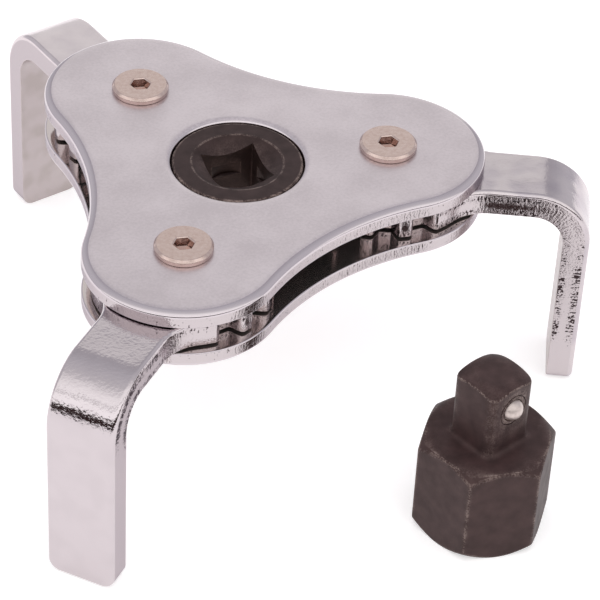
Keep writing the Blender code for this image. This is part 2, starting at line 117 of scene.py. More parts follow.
def addMesh(name, bm):
    mesh = bpy.data.meshes.new(name)
    bm.to_mesh(mesh)
    bm.free()
    return addObject(name, mesh)


def polar(radius, angle):
    return Vector((radius * math.cos(angle), radius * math.sin(angle)))


def arcPoints(centre, radius, start, end, steps):
    return [centre + polar(radius, start + (end - start) * k / steps) for k in range(steps + 1)]


def polygonRadius(angle, flat, sides, corner, sharpness):
    # from the centre to a regular polygon with softly rounded corners, one of them at this direction
    total = 0
    for side in range(sides):
        facing = math.cos(angle - corner - (side + 0.5) * 2 * math.pi / sides)
        total += max(facing, 0) ** sharpness
    return flat / total ** (1 / sharpness)


def softened(corners, steps=4):
    # a profile of (radius, height, rounding) corners with each corner eased into a short curve, and a
    # point just outside the curve that keeps the flats beside it flat
    longest = 0.42  # share of a side that a curve may take
    outside = 1.15  # how far out that point lies, as a share of the curve's own reach
    points = []
    for index, (radius, height, rounding) in enumerate(corners):
        here = Vector((radius, height))
        if index in (0, len(corners) - 1) or rounding == 0:
            points.append(here)
            continue
        before = Vector(corners[index - 1][:2]) - here
        after = Vector(corners[index + 1][:2]) - here
        start = here + before.normalized() * min(rounding, before.length * longest)
        end = here + after.normalized() * min(rounding, after.length * longest)
        points.append(here.lerp(start, outside))
        for step in range(steps + 1):
            t = step / steps
            points.append(start * (1 - t) ** 2 + here * 2 * t * (1 - t) + end * t ** 2)
        points.append(here.lerp(end, outside))
    return points


def addLoft(bm, rings, finishes=None, closed=False):
    # quads between rings of equal length, with a material index for each band
    loops = [[bm.verts.new(point) for point in ring] for ring in rings]
    ahead = loops[1:] + loops[:1] if closed else loops[1:]
    for band, (near, far) in enumerate(zip(loops, ahead)):
        for k in range(len(near)):
            face = bm.faces.new((near[k - 1], near[k], far[k], far[k - 1]))
            face.material_index = finishes[band] if finishes else 0
    return loops


def addTurned(bm, axis, profileAt, steps, closed=False):
    # a profile that may change with the angle, carried round an upright axis and capped at its ends
    angles = [2 * math.pi * k / steps for k in range(steps)]
    profiles = [profileAt(angle) for angle in angles]
    rings = []
    for station in range(len(profiles[0])):
        ring = []
        for angle, profile in zip(angles, profiles):
            spot = axis + polar(profile[station].x, angle)
            ring.append((spot.x, spot.y, profile[station].y))
        rings.append(ring)
    loops = addLoft(bm, rings, closed=closed)
    if not closed:
        bm.faces.new(loops[0])
        bm.faces.new(loops[-1])


def insetLoop(outline, insets):
    # each point of an anticlockwise outline moved inwards, along the line that halves its corner
    steepest = 0.5  # so that a sharp corner doesn't shoot inwards
    moved = []
    for k, here in enumerate(outline):
        before = (here - outline[k - 1]).normalized()
        after = (outline[(k + 1) % len(outline)] - here).normalized()
        inward = Vector((-before.y - after.y, before.x + after.x)).normalized()
        slant = max(inward.x * -before.y + inward.y * before.x, steepest)
        moved.append(here + inward * insets[k] / slant)
    return moved


def fillBetween(bm, loops, finish):
    # a flat face inside the first loop and outside the others
    edges = []
    for loop in loops:
        edges += [bm.edges.get((loop[k - 1], loop[k])) for k in range(len(loop))]
    filled = bmesh.ops.triangle_fill(bm, edges=edges, use_beauty=True)
    for made in filled["geom"]:
        if isinstance(made, bmesh.types.BMFace):
            made.material_index = finish


def addBlank(bm, outline, roundings, hole, bottom, thickness, finishes):
    # a sheared blank: rounded upper edge, upright wall and a nearly sharp lower edge;
    # finishes are for the upper side, the wall and the lower side
    upper, wall, lower = finishes
    upperSteps = 6
    lowerSteps = 2
    sharp = 0.12 * mm  # rounding of the lower edge
    top = bottom + thickness
    rings = []
    for step in range(upperSteps + 1):
        turn = math.pi / 2 * step / upperSteps
        loop = insetLoop(outline, [size * (1 - math.sin(turn)) for size in roundings])
        rings.append([(p.x, p.y, top - size * (1 - math.cos(turn))) for p, size in zip(loop, roundings)])
    for step in range(lowerSteps + 1):
        turn = math.pi / 2 * step / lowerSteps
        loop = insetLoop(outline, [sharp * (1 - math.cos(turn))] * len(outline))
        rings.append([(p.x, p.y, bottom + sharp * (1 - math.sin(turn))) for p in loop])
    sides = addLoft(bm, rings, [upper] * upperSteps + [wall] + [lower] * lowerSteps)
    bore = addLoft(bm, [[(p.x, p.y, height) for p in hole] for height in (top, bottom)], [wall])
    fillBetween(bm, (sides[0], bore[0]), upper)
    fillBetween(bm, (sides[-1], bore[-1]), lower)


def cutAway(bm, cutter):
    # the first shape with the second one taken out of it
    objects = []
    for shape in (bm, cutter):
        bmesh.ops.recalc_face_normals(shape, faces=shape.faces)
        objects.append(addMesh("cut", shape))
    cut = objects[0].modifiers.new("cut", "BOOLEAN")
    cut.operation = "DIFFERENCE"
    cut.object = objects[1]
    graph = bpy.context.evaluated_depsgraph_get()
    result = bmesh.new()
    result.from_object(objects[0], graph)
    for obj in objects:
        bpy.data.objects.remove(obj)
    return result


def markEdges(bm):
    # 1 where the surface turns over a tight edge, falling to 0 on flats and in hollows
    tight = 0.4 * mm
    closest = 0.01 * mm
    bm.normal_update()
    wear = bm.verts.layers.float.new("wear")
    for edge in bm.edges:
        if len(edge.link_faces) != 2:
            continue
        near, far = edge.link_faces
        apart = (near.calc_center_median() - far.calc_center_median()).length
        turn = max(edge.calc_face_angle_signed(0.0), 0.0) * tight / max(apart, closest)
        for vert in edge.verts:
            vert[wear] = max(vert[wear], min(turn, 1.0))


def makePiece(name, bm, finishes, body, node, worn=False):
    # a finished mesh that moves with its body in place of the plain solid
    crease = 38  # degrees; edges that turn more stay crisp
    bmesh.ops.recalc_face_normals(bm, faces=bm.faces)
    if worn:
        markEdges(bm)
    piece = addMesh(name, bm)
    for finish in finishes:
        piece.data.materials.append(finish)
    piece.data.shade_smooth()
    piece.data.set_sharp_from_angle(angle=math.radians(crease))
    even = piece.modifiers.new("flat faces stay flat", "WEIGHTED_NORMAL")
    even.weight = 100
    even.keep_sharp = True
    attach(piece, body)
    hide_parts(node)


# materials

def satinNickelPlate():
    # nickel over tumbled steel sheet: a pale soft sheen with a fine random grain
    look = {
        "color": "#e0d6d9", "shade": "#cfc5c8", "cloud": 9.0, "relief": 0.004,
        "grain": 0.45,  # coarser than real tumbling marks, which are too fine to draw
    }
    material, tree, shader = newMaterial("satinNickelPlate", look["color"])
    place = addNode(tree, "TexCoord").outputs["Object"]
    grain = addNode(tree, "TexNoise", {"Scale": perMm(look["grain"]), "Detail": 3.0}, {"Vector": place})
    cloud = addNode(tree, "TexNoise", {"Scale": perMm(look["cloud"]), "Detail": 2.0}, {"Vector": place})
    both = addNode(tree, "Math", {"operation": "ADD"}, {0: grain, 1: cloud})
    tone = addNode(tree, "MapRange", {"From Min": 0.75, "From Max": 1.25}, {"Value": both})
    color = addNode(
        tree, "Mix", {"data_type": "RGBA", 6: linear(look["shade"]), 7: linear(look["color"])}, {0: tone}
    )
    gloss = addNode(
        tree, "MapRange", {"From Min": 0.3, "From Max": 0.7, "To Min": 0.3, "To Max": 0.4}, {"Value": grain}
    )
    bump = addNode(tree, "Bump", {"Distance": look["relief"] * mm}, {"Height": grain})
    fillNode(tree, shader, links={"Base Color": color.outputs[2], "Roughness": gloss, "Normal": bump})
    return material


def polishedRoll(name, look):
    # nickel where the press burnishes the sheet, so the plating is smooth and clear
    material, tree, shader = newMaterial(name, look["color"], look["metallic"])
    place = addNode(tree, "TexCoord").outputs["Object"]
    ripple = addNode(tree, "TexNoise", {"Scale": perMm(look["ripple"]), "Detail": 3.0}, {"Vector": place})
    gloss = addNode(tree, "MapRange", {"To Min": look["smooth"], "To Max": look["rough"]}, {"Value": ripple})
    bump = addNode(tree, "Bump", {"Distance": look["relief"] * mm}, {"Height": ripple})
    fillNode(tree, shader, links={"Roughness": gloss, "Normal": bump})
    return material


def chromePlate(name, look):
    # chrome over rolled bar: the steel's orange peel breaks up what it mirrors
    material, tree, shader = newMaterial(name, look["color"])
    place = addNode(tree, "TexCoord").outputs["Object"]
    peel = addNode(tree, "TexNoise", {"Scale": perMm(look["peel"]), "Detail": 3.0}, {"Vector": place})
    swell = addNode(tree, "TexNoise", {"Scale": perMm(look["swell"]), "Detail": 1.0}, {"Vector": place})
    low = addNode(tree, "Bump", {"Distance": look["swellRelief"] * mm}, {"Height": swell})
    fine = addNode(tree, "Bump", {"Distance": look["peelRelief"] * mm}, {"Height": peel, "Normal": low})
    gloss = addNode(tree, "MapRange", {"To Min": look["smooth"], "To Max": look["rough"]}, {"Value": peel})
    cloudy = addNode(tree, "MapRange", {"From Min": 0.35, "From Max": 0.6}, {"Value": swell})
    color = addNode(
        tree, "Mix", {"data_type": "RGBA", 6: linear(look["stain"]), 7: linear(look["color"])}, {0: cloudy}
    )
    fillNode(tree, shader, links={"Base Color": color.outputs[2], "Roughness": gloss, "Normal": fine})
    return material


def shearedChrome():
    # chrome over the torn face that shearing leaves: smooth along the middle of the thickness, with
    # flecks and short ticks towards both edges, as far as the tear attribute lets them show
    look = {
        "color": "#c3babc",
        "pit": "#3c3133",
        "glancing": "#d0ccd2",  # what is left of light that grazes it
        "fleck": 0.36,
        "tick": (0.34, 0.34, 1.7),  # short along the bar, long through its thickness
        "patch": 5.0,
        "smoothDepth": 2.76,  # from the arms' upper side to the smooth strip
        "smoothStrip": (0.23, 0.92),  # from its middle: still smooth, and fully torn
        "bite": 0.5,  # how much of the relief a full tear opens into pits
        "rough": 0.13,
        "relief": 0.1,
    }
    smoothest = armTop - look["smoothDepth"] * mm
    smooth, torn = [distance * mm for distance in look["smoothStrip"]]
    material, tree, shader = newMaterial("shearedChrome", look["color"])
    blank = addNode(tree, "Attribute", {"attribute_name": "blank"}).outputs["Vector"]
    tear = addNode(tree, "Attribute", {"attribute_name": "tear"}).outputs["Fac"]
    stretch = addNode(tree, "Mapping", {"Scale": [perMm(size) for size in look["tick"]]}, {"Vector": blank})
    tick = addNode(tree, "TexNoise", {"Scale": 1.0, "Detail": 2.0}, {"Vector": stretch})
    fleck = addNode(tree, "TexNoise", {"Scale": perMm(look["fleck"]), "Detail": 3.0}, {"Vector": blank})
    patch = addNode(tree, "TexNoise", {"Scale": perMm(look["patch"]), "Detail": 1.0}, {"Vector": blank})
    rough = addNode(tree, "Math", {"operation": "ADD"}, {0: tick, 1: fleck})
    height = addNode(tree, "SeparateXYZ", {}, {0: blank})
    middle = addNode(tree, "Math", {"operation": "SUBTRACT", 1: smoothest}, {0: height.outputs["Z"]})
    aside = addNode(tree, "Math", {"operation": "ABSOLUTE"}, {0: middle})
    strip = addNode(tree, "MapRange", {"From Min": smooth, "From Max": torn, "To Min": 0.4}, {"Value": aside})
    where = addNode(tree, "MapRange", {"From Min": 0.38, "From Max": 0.55, "To Min": 0.8}, {"Value": patch})
    pull = addNode(tree, "Math", {"operation": "MULTIPLY"}, {0: tear, 1: strip})
    force = addNode(tree, "Math", {"operation": "MULTIPLY"}, {0: pull, 1: where})
    bump = addNode(tree, "Bump", {"Distance": look["relief"] * mm}, {"Strength": force, "Height": rough})
    deep = addNode(tree, "Math", {"operation": "MULTIPLY_ADD", 1: -look["bite"]}, {0: force, 2: rough})
    hollow = addNode(tree, "MapRange", {"From Min": 0.4, "From Max": 0.48}, {"Value": deep})
    color = addNode(
        tree, "Mix", {"data_type": "RGBA", 6: linear(look["pit"]), 7: linear(look["color"])}, {0: hollow}
    )
    settings = {"Specular Tint": linear(look["glancing"]), "Roughness": look["rough"]}
    links = {"Base Color": color.outputs[2], "Normal": bump}
    fillNode(tree, shader, settings, links)
    return material


def warmNickel():
    # nickel on turned screws and nuts: warmer than the chrome, with a faintly blotched shine
    look = {
        "color": "#d9c6c0", "shade": "#b39b92",
        "blotch": 0.7, "relief": 0.006, "smooth": 0.1, "rough": 0.26,
    }
    material, tree, shader = newMaterial("warmNickel", look["color"])
    place = addNode(tree, "TexCoord").outputs["Object"]
    blotch = addNode(tree, "TexNoise", {"Scale": perMm(look["blotch"]), "Detail": 5.0}, {"Vector": place})
    color = addNode(
        tree, "Mix", {"data_type": "RGBA", 6: linear(look["shade"]), 7: linear(look["color"])}, {0: blotch}
    )
    gloss = addNode(tree, "MapRange", {"To Min": look["smooth"], "To Max": look["rough"]}, {"Value": blotch})
    bump = addNode(tree, "Bump", {"Distance": look["relief"] * mm}, {"Height": blotch})
    fillNode(tree, shader, links={"Base Color": color.outputs[2], "Roughness": gloss, "Normal": bump})
    return material


def blackOxide(name, look):
    # hot-blackened steel: near black, faintly brown, mottled, and rubbed to grey along its edges
    material, tree, shader = newMaterial(name, look["color"], metallic=0.0)
    place = addNode(tree, "TexCoord").outputs["Object"]
    mottle = addNode(tree, "TexNoise", {"Scale": perMm(look["mottle"]), "Detail": 5.0}, {"Vector": place})
    grit = addNode(tree, "TexNoise", {"Scale": perMm(look["grit"]), "Detail": 2.0}, {"Vector": place})
    tone = addNode(tree, "MapRange", {"From Min": 0.3, "From Max": 0.7}, {"Value": mottle})
    color = addNode(
        tree, "Mix", {"data_type": "RGBA", 6: linear(look["shade"]), 7: linear(look["color"])}, {0: tone}
    )
    edge = addNode(tree, "Attribute", {"attribute_name": "wear"})
    patchy = addNode(tree, "Math", {"operation": "ADD"}, {0: mottle, 1: grit})
    rubbed = addNode(tree, "MapRange", {"From Min": 0.88, "From Max": 1.25}, {"Value": patchy})
    worn = addNode(tree, "Math", {"operation": "MULTIPLY"}, {0: edge.outputs["Fac"], 1: rubbed})
    finish = addNode(
        tree, "Mix", {"data_type": "RGBA", 7: linear(look["worn"])}, {0: worn, 6: color.outputs[2]}
    )
    gloss = addNode(tree, "MapRange", {"To Min": look["rough"], "To Max": look["smooth"]}, {"Value": mottle})
    bump = addNode(tree, "Bump", {"Distance": look["relief"] * mm}, {"Height": grit})
    settings = {"Specular IOR Level": 0.32, "Specular Tint": linear(look["sheen"])}
    links = {"Base Color": finish.outputs[2], "Roughness": gloss, "Normal": bump}
    fillNode(tree, shader, settings, links)
    return material


def groundSteel(name, look):
    # bare turned or ground steel: grey, with fine uneven polish
    material, tree, shader = newMaterial(name, look["color"])
    place = addNode(tree, "TexCoord").outputs["Object"]
    mark = addNode(tree, "TexNoise", {"Scale": perMm(look["mark"]), "Detail": 4.0}, {"Vector": place})
    tint = addNode(
        tree, "Mix", {"data_type": "RGBA", 6: linear(look["shade"]), 7: linear(look["color"])}, {0: mark}
    )
    gloss = addNode(tree, "MapRange", {"To Min": look["smooth"], "To Max": look["rough"]}, {"Value": mark})
    fillNode(tree, shader, links={"Base Color": tint.outputs[2], "Roughness": gloss})
    return material


brightBar = {
    "color": "#c7bec1", "stain": "#c4bbbe", "smooth": 0.03, "rough": 0.1,
    "peel": 0.55, "peelRelief": 0.05, "swell": 4.5, "swellRelief": 0.08,
}
softBar = {
    "color": "#d6ccce", "stain": "#d0c6c9", "smooth": 0.15, "rough": 0.27,
    "peel": 0.8, "peelRelief": 0.014, "swell": 4.5, "swellRelief": 0.1,
}
dullBar = {
    "color": "#cac1c3", "stain": "#bdb4b9", "smooth": 0.1, "rough": 0.24,
    "peel": 0.7, "peelRelief": 0.03, "swell": 4.5, "swellRelief": 0.2,
}
# arms' inner faces: rougher, and made darker as painted shade for the shaded floor that these faces mirror
shadedInnerBar = {
    "color": "#bfb5b5", "stain": "#b4aaa8", "smooth": 0.28, "rough": 0.42,
    "peel": 1.2, "peelRelief": 0.006, "swell": 3.5, "swellRelief": 0.03,
}
blackedFace = {
    "color": "#423131", "shade": "#332626", "worn": "#8d7d77",
    "mottle": 2.4, "grit": 0.28, "relief": 0.01, "smooth": 0.42, "rough": 0.62, "sheen": "#ffe2dc",
}
hubFace = {**blackedFace, "color": "#352828", "shade": "#281e1e", "worn": "#85756f"}
# painted shade: near-black oxide for the walls inside the drive square, darker than the light there makes them
squareShadeFace = {
    "color": "#281c1a", "shade": "#1c1312", "worn": "#4a3b37",
    "mottle": 1.8, "grit": 0.28, "relief": 0.01, "smooth": 0.3, "rough": 0.5, "sheen": "#e6b9ab",
}
rolledFace = {
    "color": "#cbc2c6", "metallic": 1.0,
    "ripple": 1.6, "relief": 0.004, "smooth": 0.05, "rough": 0.17,
}
greasedFace = {
    "color": "#cbc1bf", "metallic": 0.955,  # a film of grease dulls the metal
    "ripple": 1.2, "relief": 0.006, "smooth": 0.04, "rough": 0.14,
}
ballFace = {"color": "#e0d5d1", "shade": "#b3a59f", "mark": 0.6, "smooth": 0.36, "rough": 0.5}
undersideFace = {"color": "#7a5f52", "shade": "#5a4034", "mark": 0.6, "smooth": 0.4, "rough": 0.6}
plainFace = {"color": "#b4b0b0", "shade": "#989494", "mark": 0.6, "smooth": 0.28, "rough": 0.42}
satin = satinNickelPlate()
roll = polishedRoll("polishedRoll", rolledFace)
greased = polishedRoll("greasedPlate", greasedFace)  # inside the wrench
chrome = chromePlate("brightChrome", brightBar)
softChrome = chromePlate("softChrome", softBar)
dullChrome = chromePlate("dullChrome", dullBar)  # rubbed against filters
shadedInnerChrome = chromePlate("shadedInnerChrome", shadedInnerBar)  # rougher where the polishing wheel never reached, and darker as painted shade
sheared = shearedChrome()
nickel = warmNickel()
oxide = blackOxide("blackOxide", blackedFace)
hubOxide = blackOxide("hubOxide", hubFace)
squareShadeOxide = blackOxide("squareShadeOxide", squareShadeFace)  # painted shade on the walls inside the drive square
ballSteel = groundSteel("ballSteel", ballFace)
ballUndersideBrown = groundSteel("ballUndersideBrown", undersideFace)  # the ball's underside, painted dark brown
plainSteel = groundSteel("plainSteel", plainFace)
print("materials made")


# plates

plateShape = {
    "waistRadius": 47.6,  # hollow edge between two lobes
    # edges as arcs of (first tilt, last tilt, width), from the flat face to the upright wall
    "roll": ((0, 9, 0.75), (9, 37, 0.9), (37, 90, 0.3)),
    "hubHole": 11.3,
    "hubLip": ((0, 22, 0.95), (22, 90, 0.35)),
    "pivotHole": 2.7,
    "pivotLip": ((0, 45, 0.1), (45, 90, 0.06)),
    "burr": 0.25,  # rounding of the inner face's edges
    "flat": 0.6,  # strip beside each edge that keeps the face flat
    "tear": 0.6,  # how torn the sheared walls are
    "arcSteps": 6,
    "burrSteps": 3,
    "lobeSteps": 72,
    "waistSteps": 44,
    "hubHoleSteps": 128,
    "pivotHoleSteps": 48,
}


def lobedLoop(inset):
    # the plates' outline set in by this much: a lobe on each pivot, joined by hollow edges
    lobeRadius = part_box("top_plate")[1].x - pivots[0].x
    waistRadius = plateShape["waistRadius"] * mm
    # each hollow's centre lies 60 degrees round from the two lobes that it touches
    waistCentre = pivotRadius / 2 + math.sqrt((lobeRadius + waistRadius) ** 2 - 0.75 * pivotRadius ** 2)
    across = polar(waistCentre, math.pi / 3) - polar(pivotRadius, 0)
    meet = math.atan2(across.y, across.x)
    points = []
    for lobe in range(3):
        facing = lobe * 2 * math.pi / 3
        centre = driveAxis + polar(pivotRadius, facing)
        points += arcPoints(centre, lobeRadius - inset, facing - meet, facing + meet, plateShape["lobeSteps"])
        centre = driveAxis + polar(waistCentre, facing + math.pi / 3)
        start = facing + meet + math.pi
        end = facing + 2 * math.pi / 3 - meet + math.pi
        points += arcPoints(centre, waistRadius + inset, start, end, plateShape["waistSteps"])[1:-1]
    return points


def rolledEdge(arcs, thickness):
    # (distance from the wall, depth) from the outer face's flat, over the arcs and down the wall
    burr = plateShape["burr"] * mm
    flat = plateShape["flat"] * mm
    distance = sum(width for first, last, width in arcs) * mm
    depth = 0
    profile = [Vector((distance + flat, 0)), Vector((distance, 0))]
    for first, last, width in arcs:
        first, last, width = math.radians(first), math.radians(last), width * mm
        radius = width / (math.sin(last) - math.sin(first))
        for step in range(1, plateShape["arcSteps"] + 1):
            tilt = first + (last - first) * step / plateShape["arcSteps"]
            run = radius * (math.sin(tilt) - math.sin(first))
            fall = radius * (math.cos(first) - math.cos(tilt))
            profile.append(Vector((distance - run, depth + fall)))
        distance -= width
        depth += fall
    for step in range(plateShape["burrSteps"] + 1):
        turn = math.pi / 2 * step / plateShape["burrSteps"]
        profile.append(Vector((burr * (1 - math.cos(turn)), thickness - burr * (1 - math.sin(turn)))))
    profile.append(Vector((burr + flat, thickness)))
    return profile


def makePlate(name, node, outward):
    # outward is +1 where the rolled face looks up and -1 where it looks down
    low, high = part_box(node)
    thickness = high.z - low.z
    face = high.z if outward > 0 else low.z
    satinIndex, rollIndex, shearedIndex, greasedIndex = range(4)
    arcSteps = plateShape["arcSteps"]
    under = [rollIndex] * plateShape["burrSteps"] + [greasedIndex]
    bm = bmesh.new()

    def addEdge(rings, arcs):
        # the first arc is still part of the satin face
        rolled = [rollIndex] * arcSteps * (len(arcs) - 1)
        return addLoft(bm, rings, [satinIndex] * (1 + arcSteps) + rolled + [shearedIndex] + under)

    rings = []
    for inset, depth in rolledEdge(plateShape["roll"], thickness):
        rings.append([(p.x, p.y, face - outward * depth) for p in lobedLoop(inset)])
    loopSets = [addEdge(rings, plateShape["roll"])]
    holes = [(driveAxis, "hubHole", "hubLip", "hubHoleSteps")]
    holes += [(pivot, "pivotHole", "pivotLip", "pivotHoleSteps") for pivot in pivots]
    for centre, *keys in holes:
        hole, arcs, steps = [plateShape[key] for key in keys]
        rings = []
        for out, depth in rolledEdge(arcs, thickness):
            circle = arcPoints(centre, hole * mm + out, 0, 2 * math.pi, steps)[:-1]
            rings.append([(p.x, p.y, face - outward * depth) for p in circle])
        loopSets.append(addEdge(rings, arcs))
    fillBetween(bm, [loops[0] for loops in loopSets], satinIndex)
    fillBetween(bm, [loops[-1] for loops in loopSets], greasedIndex)
    blank = bm.verts.layers.float_vector.new("blank")
    tear = bm.verts.layers.float.new("tear")
    for vert in bm.verts:
        vert[blank] = vert.co
        vert[tear] = plateShape["tear"]
    makePiece(name, bm, (satin, roll, sheared, greased), "plates", node)


makePlate("topPlate", "top_plate", 1)
makePlate("bottomPlate", "bottom_plate", -1)
print("plates made")


# teeth of the hub and of the arms' heads, drawn as the gears that they are

toothShape = {
    "hubTeeth": 12,
    "armTeeth": 14,  # on a full circle of an arm's head
    "above": 1.1,  # pitch circle to tip
    "below": 1.4,  # pitch circle to root
    "play": 0.3,
    "ease": 0.3,  # broken corners
    "pressure": 20.0,
    "flankSteps": 4,
}
hubPitch = pivotRadius * toothShape["hubTeeth"] / (toothShape["hubTeeth"] + toothShape["armTeeth"])
armPitch = pivotRadius - hubPitch
toothSpacing = 2 * math.pi * hubPitch / toothShape["hubTeeth"]


def toothHalfAngle(radius, pitch):
    # half the angle that an involute tooth takes up at this radius
    base = pitch * math.cos(math.radians(toothShape["pressure"]))

    def involute(at):
        lean = math.acos(base / at)
        return math.tan(lean) - lean

    half = (toothSpacing - toothShape["play"] * mm) / (4 * pitch)
    return half + involute(pitch) - involute(max(radius, base))


def toothGap(centre, pitch):
    # one gap between two teeth, from tip to tip
    tip = pitch + toothShape["above"] * mm
    root = pitch - toothShape["below"] * mm
    ease = toothShape["ease"] * mm
    halfSpacing = toothSpacing / pitch / 2
    base = pitch * math.cos(math.radians(toothShape["pressure"]))
    lowest = max(root + ease, base)
    side = [(tip, halfSpacing - toothHalfAngle(tip, pitch) + ease / tip)]
    for step in range(toothShape["flankSteps"] + 1):
        radius = tip - ease + (lowest - tip + ease) * step / toothShape["flankSteps"]
        side.append((radius, halfSpacing - toothHalfAngle(radius, pitch)))
    side.append((root, side[-1][1] - ease / root))
    falling = [polar(radius, centre - angle) for radius, angle in side]
    rising = [polar(radius, centre + angle) for radius, angle in reversed(side)]
    return falling + rising


# arms

armShape = {
    "width": 12.0,
    "thickness": 4.6,
    "reach": 35.7,  # pivot to the outer face of the leg
    "bendInside": 5.4,
    "tipCorner": 2.2,
    "neck": 8.0,  # fillet between the head and the bar
    "edge": ((10.0, 0.25), (16.0, 0.8)),  # rounding at two distances from the pivot
    "bore": 4.4,
    "neckSteps": 10,
    "tipSteps": 12,
    "headSteps": 12,
    "boreSteps": 48,
    "bendSteps": 28,
    "legSteps": 10,
    # how torn each arm's sheared sides are: 0 where the bend starts, 1 where it ends, 2 at the tip
    "tear": (
        ((0, 1.0), (0.5, 0.6), (1.05, 0.9), (1.25, 1.25), (1.6, 1.15), (1.85, 0)),
        ((0, 0.15), (2, 0.1)),
        ((-0.6, 0.9), (0, 1.15), (0.3, 1.35), (0.9, 1.25), (1.15, 0.5), (1.4, 0)),
    ),
}
armThickness = armShape["thickness"] * mm
bendOutside = armShape["bendInside"] * mm + armThickness
bendStart = armShape["reach"] * mm - bendOutside
bendLength = (armShape["bendInside"] * mm + armThickness / 2) * math.pi / 2


def armOutline(lean, swing):
    # the flat arm before bending: toothed head on its pivot, bar and leg along +X
    half = armShape["width"] / 2 * mm
    tip = armPitch + toothShape["above"] * mm
    neck = armShape["neck"] * mm
    neckX = math.sqrt((tip + neck) ** 2 - (half + neck) ** 2)
    neckAngle = math.atan2(half + neck, neckX)
    rounding = armShape["tipCorner"] * mm
    corner = bendStart + bendLength + armTop - bendOutside - rounding
    neckSteps = armShape["neckSteps"]
    tipSteps = armShape["tipSteps"]
    headSteps = armShape["headSteps"]
    points = arcPoints(Vector((neckX, -half - neck)), neck, math.pi - neckAngle, math.pi / 2, neckSteps)
    points += arcPoints(Vector((corner, rounding - half)), rounding, -math.pi / 2, 0, tipSteps)
    points += arcPoints(Vector((corner, half - rounding)), rounding, 0, math.pi / 2, tipSteps)
    points += arcPoints(Vector((neckX, half + neck)), neck, -math.pi / 2, neckAngle - math.pi, neckSteps)
    spacing = 2 * math.pi / toothShape["armTeeth"]
    hubTip = hubPitch + toothShape["above"] * mm
    spare = spacing / 3  # teeth reach a little past where the hub's can touch
    shared = math.acos((tip ** 2 + pivotRadius ** 2 - hubTip ** 2) / (2 * tip * pivotRadius)) + spare
    first = math.ceil((-math.radians(swing[1]) - shared) / spacing)
    last = math.floor((-math.radians(swing[0]) + shared) / spacing)
    gaps = [toothGap(math.pi - lean + index * spacing, armPitch) for index in range(first, last + 1)]
    begin = math.atan2(gaps[0][0].y, gaps[0][0].x)
    end = math.atan2(gaps[-1][-1].y, gaps[-1][-1].x) % (2 * math.pi)
    points += arcPoints(Vector((0, 0)), tip, neckAngle, begin, headSteps)[1:-1]
    for gap in gaps:
        points += gap
    points += arcPoints(Vector((0, 0)), tip, end, 2 * math.pi - neckAngle, headSteps)[1:-1]
    return points


def valueBetween(stops, place):
    # straight lines between (place, value) stops
    for (start, low), (end, high) in zip(stops, stops[1:]):
        if place < end:
            return low + (high - low) * max(place - start, 0) / (end - start)
    return stops[-1][1]


def bendDown(bm, tears):
    # the leg turns down through a right angle past the bend line
    legEnd = max(vert.co.x for vert in bm.verts)
    bendEnd = bendStart + bendLength
    bendSteps = armShape["bendSteps"]
    legSteps = armShape["legSteps"]
    stations = [bendStart + bendLength * step / bendSteps for step in range(bendSteps + 1)]
    stations += [bendEnd + (legEnd - bendEnd) * step / legSteps for step in range(1, legSteps)]
    for station in stations:
        everything = bm.verts[:] + bm.edges[:] + bm.faces[:]
        bmesh.ops.bisect_plane(
            bm, geom=everything, dist=0.001 * mm, plane_co=(station, 0, 0), plane_no=(1, 0, 0)
        )
    blank = bm.verts.layers.float_vector.new("blank")
    tear = bm.verts.layers.float.new("tear")
    for vert in bm.verts:
        vert[blank] = vert.co
        past = vert.co.x - bendStart
        beyond = max(vert.co.x - bendEnd, 0) / (legEnd - bendEnd)
        vert[tear] = valueBetween(tears, min(past / bendLength, 1) + beyond)
        if past > 0:
            radius = bendOutside - (armTop - vert.co.z)
            angle = min(past / bendLength, 1) * math.pi / 2
            vert.co.x = bendStart + radius * math.sin(angle)
            vert.co.z = armTop - bendOutside + radius * math.cos(angle) - max(past - bendLength, 0)


def makeArm(number):
    pivot = pivots[number - 1]
    tip = Vector(mounts[f"leg_tip_{number}"]["pos_m"]).xy - pivot
    facing = math.atan2(tip.y, tip.x)
    outward = pivot - driveAxis
    lean = facing - math.atan2(outward.y, outward.x)
    lean = (lean + math.pi) % (2 * math.pi) - math.pi
    swing = joints[f"arm_swing_{number}"]["range_deg"]
    bm = bmesh.new()
    bore = arcPoints(Vector((0, 0)), armShape["bore"] * mm, 0, 2 * math.pi, armShape["boreSteps"])[:-1]
    outline = armOutline(lean, swing)
    crisp, soft = armShape["edge"]
    roundings = []
    for point in outline:
        along = (point.x / mm - crisp[0]) / (soft[0] - crisp[0])
        roundings.append((crisp[1] + (soft[1] - crisp[1]) * min(max(along, 0), 1)) * mm)
    outside = (dullChrome, softChrome, chrome)[number - 1]
    # the inner side takes the darker chrome, which is painted shade
    finishes = (outside, sheared, shadedInnerChrome)
    addBlank(bm, outline, roundings, bore, armTop - armThickness, armThickness, range(len(finishes)))
    bendDown(bm, armShape["tear"][number - 1])
    bm.transform(Matrix.Translation((pivot.x, pivot.y, 0)) @ Matrix.Rotation(facing, 4, "Z"))
    makePiece(f"arm{number}", bm, finishes, f"arm_{number}", f"arm_{number}")


for number in (1, 2, 3):
    makeArm(number)
print("arms made")


# drive hub

hubShape = {
    "rim": 11.1,
    "rimRounding": 0.4,
    "square": 9.6,  # 3/8 inch drive with clearance
    "squareTurn": 11.6,
    "squareSharpness": 160,
    "countersink": 7.8,
    "slope": 32.0,
    "groove": 5.5,  # ring that catches a drive's ball
    "grooveWidth": 2.4,
    "core": 10.2,
    "coreSteps": 48,
    "overlap": 0.3,  # of the toothed ring on the core
    "journalGap": 0.1,
    "toothEdge": 0.3,
    "edge": 0.2,
    "steps": 288,
}


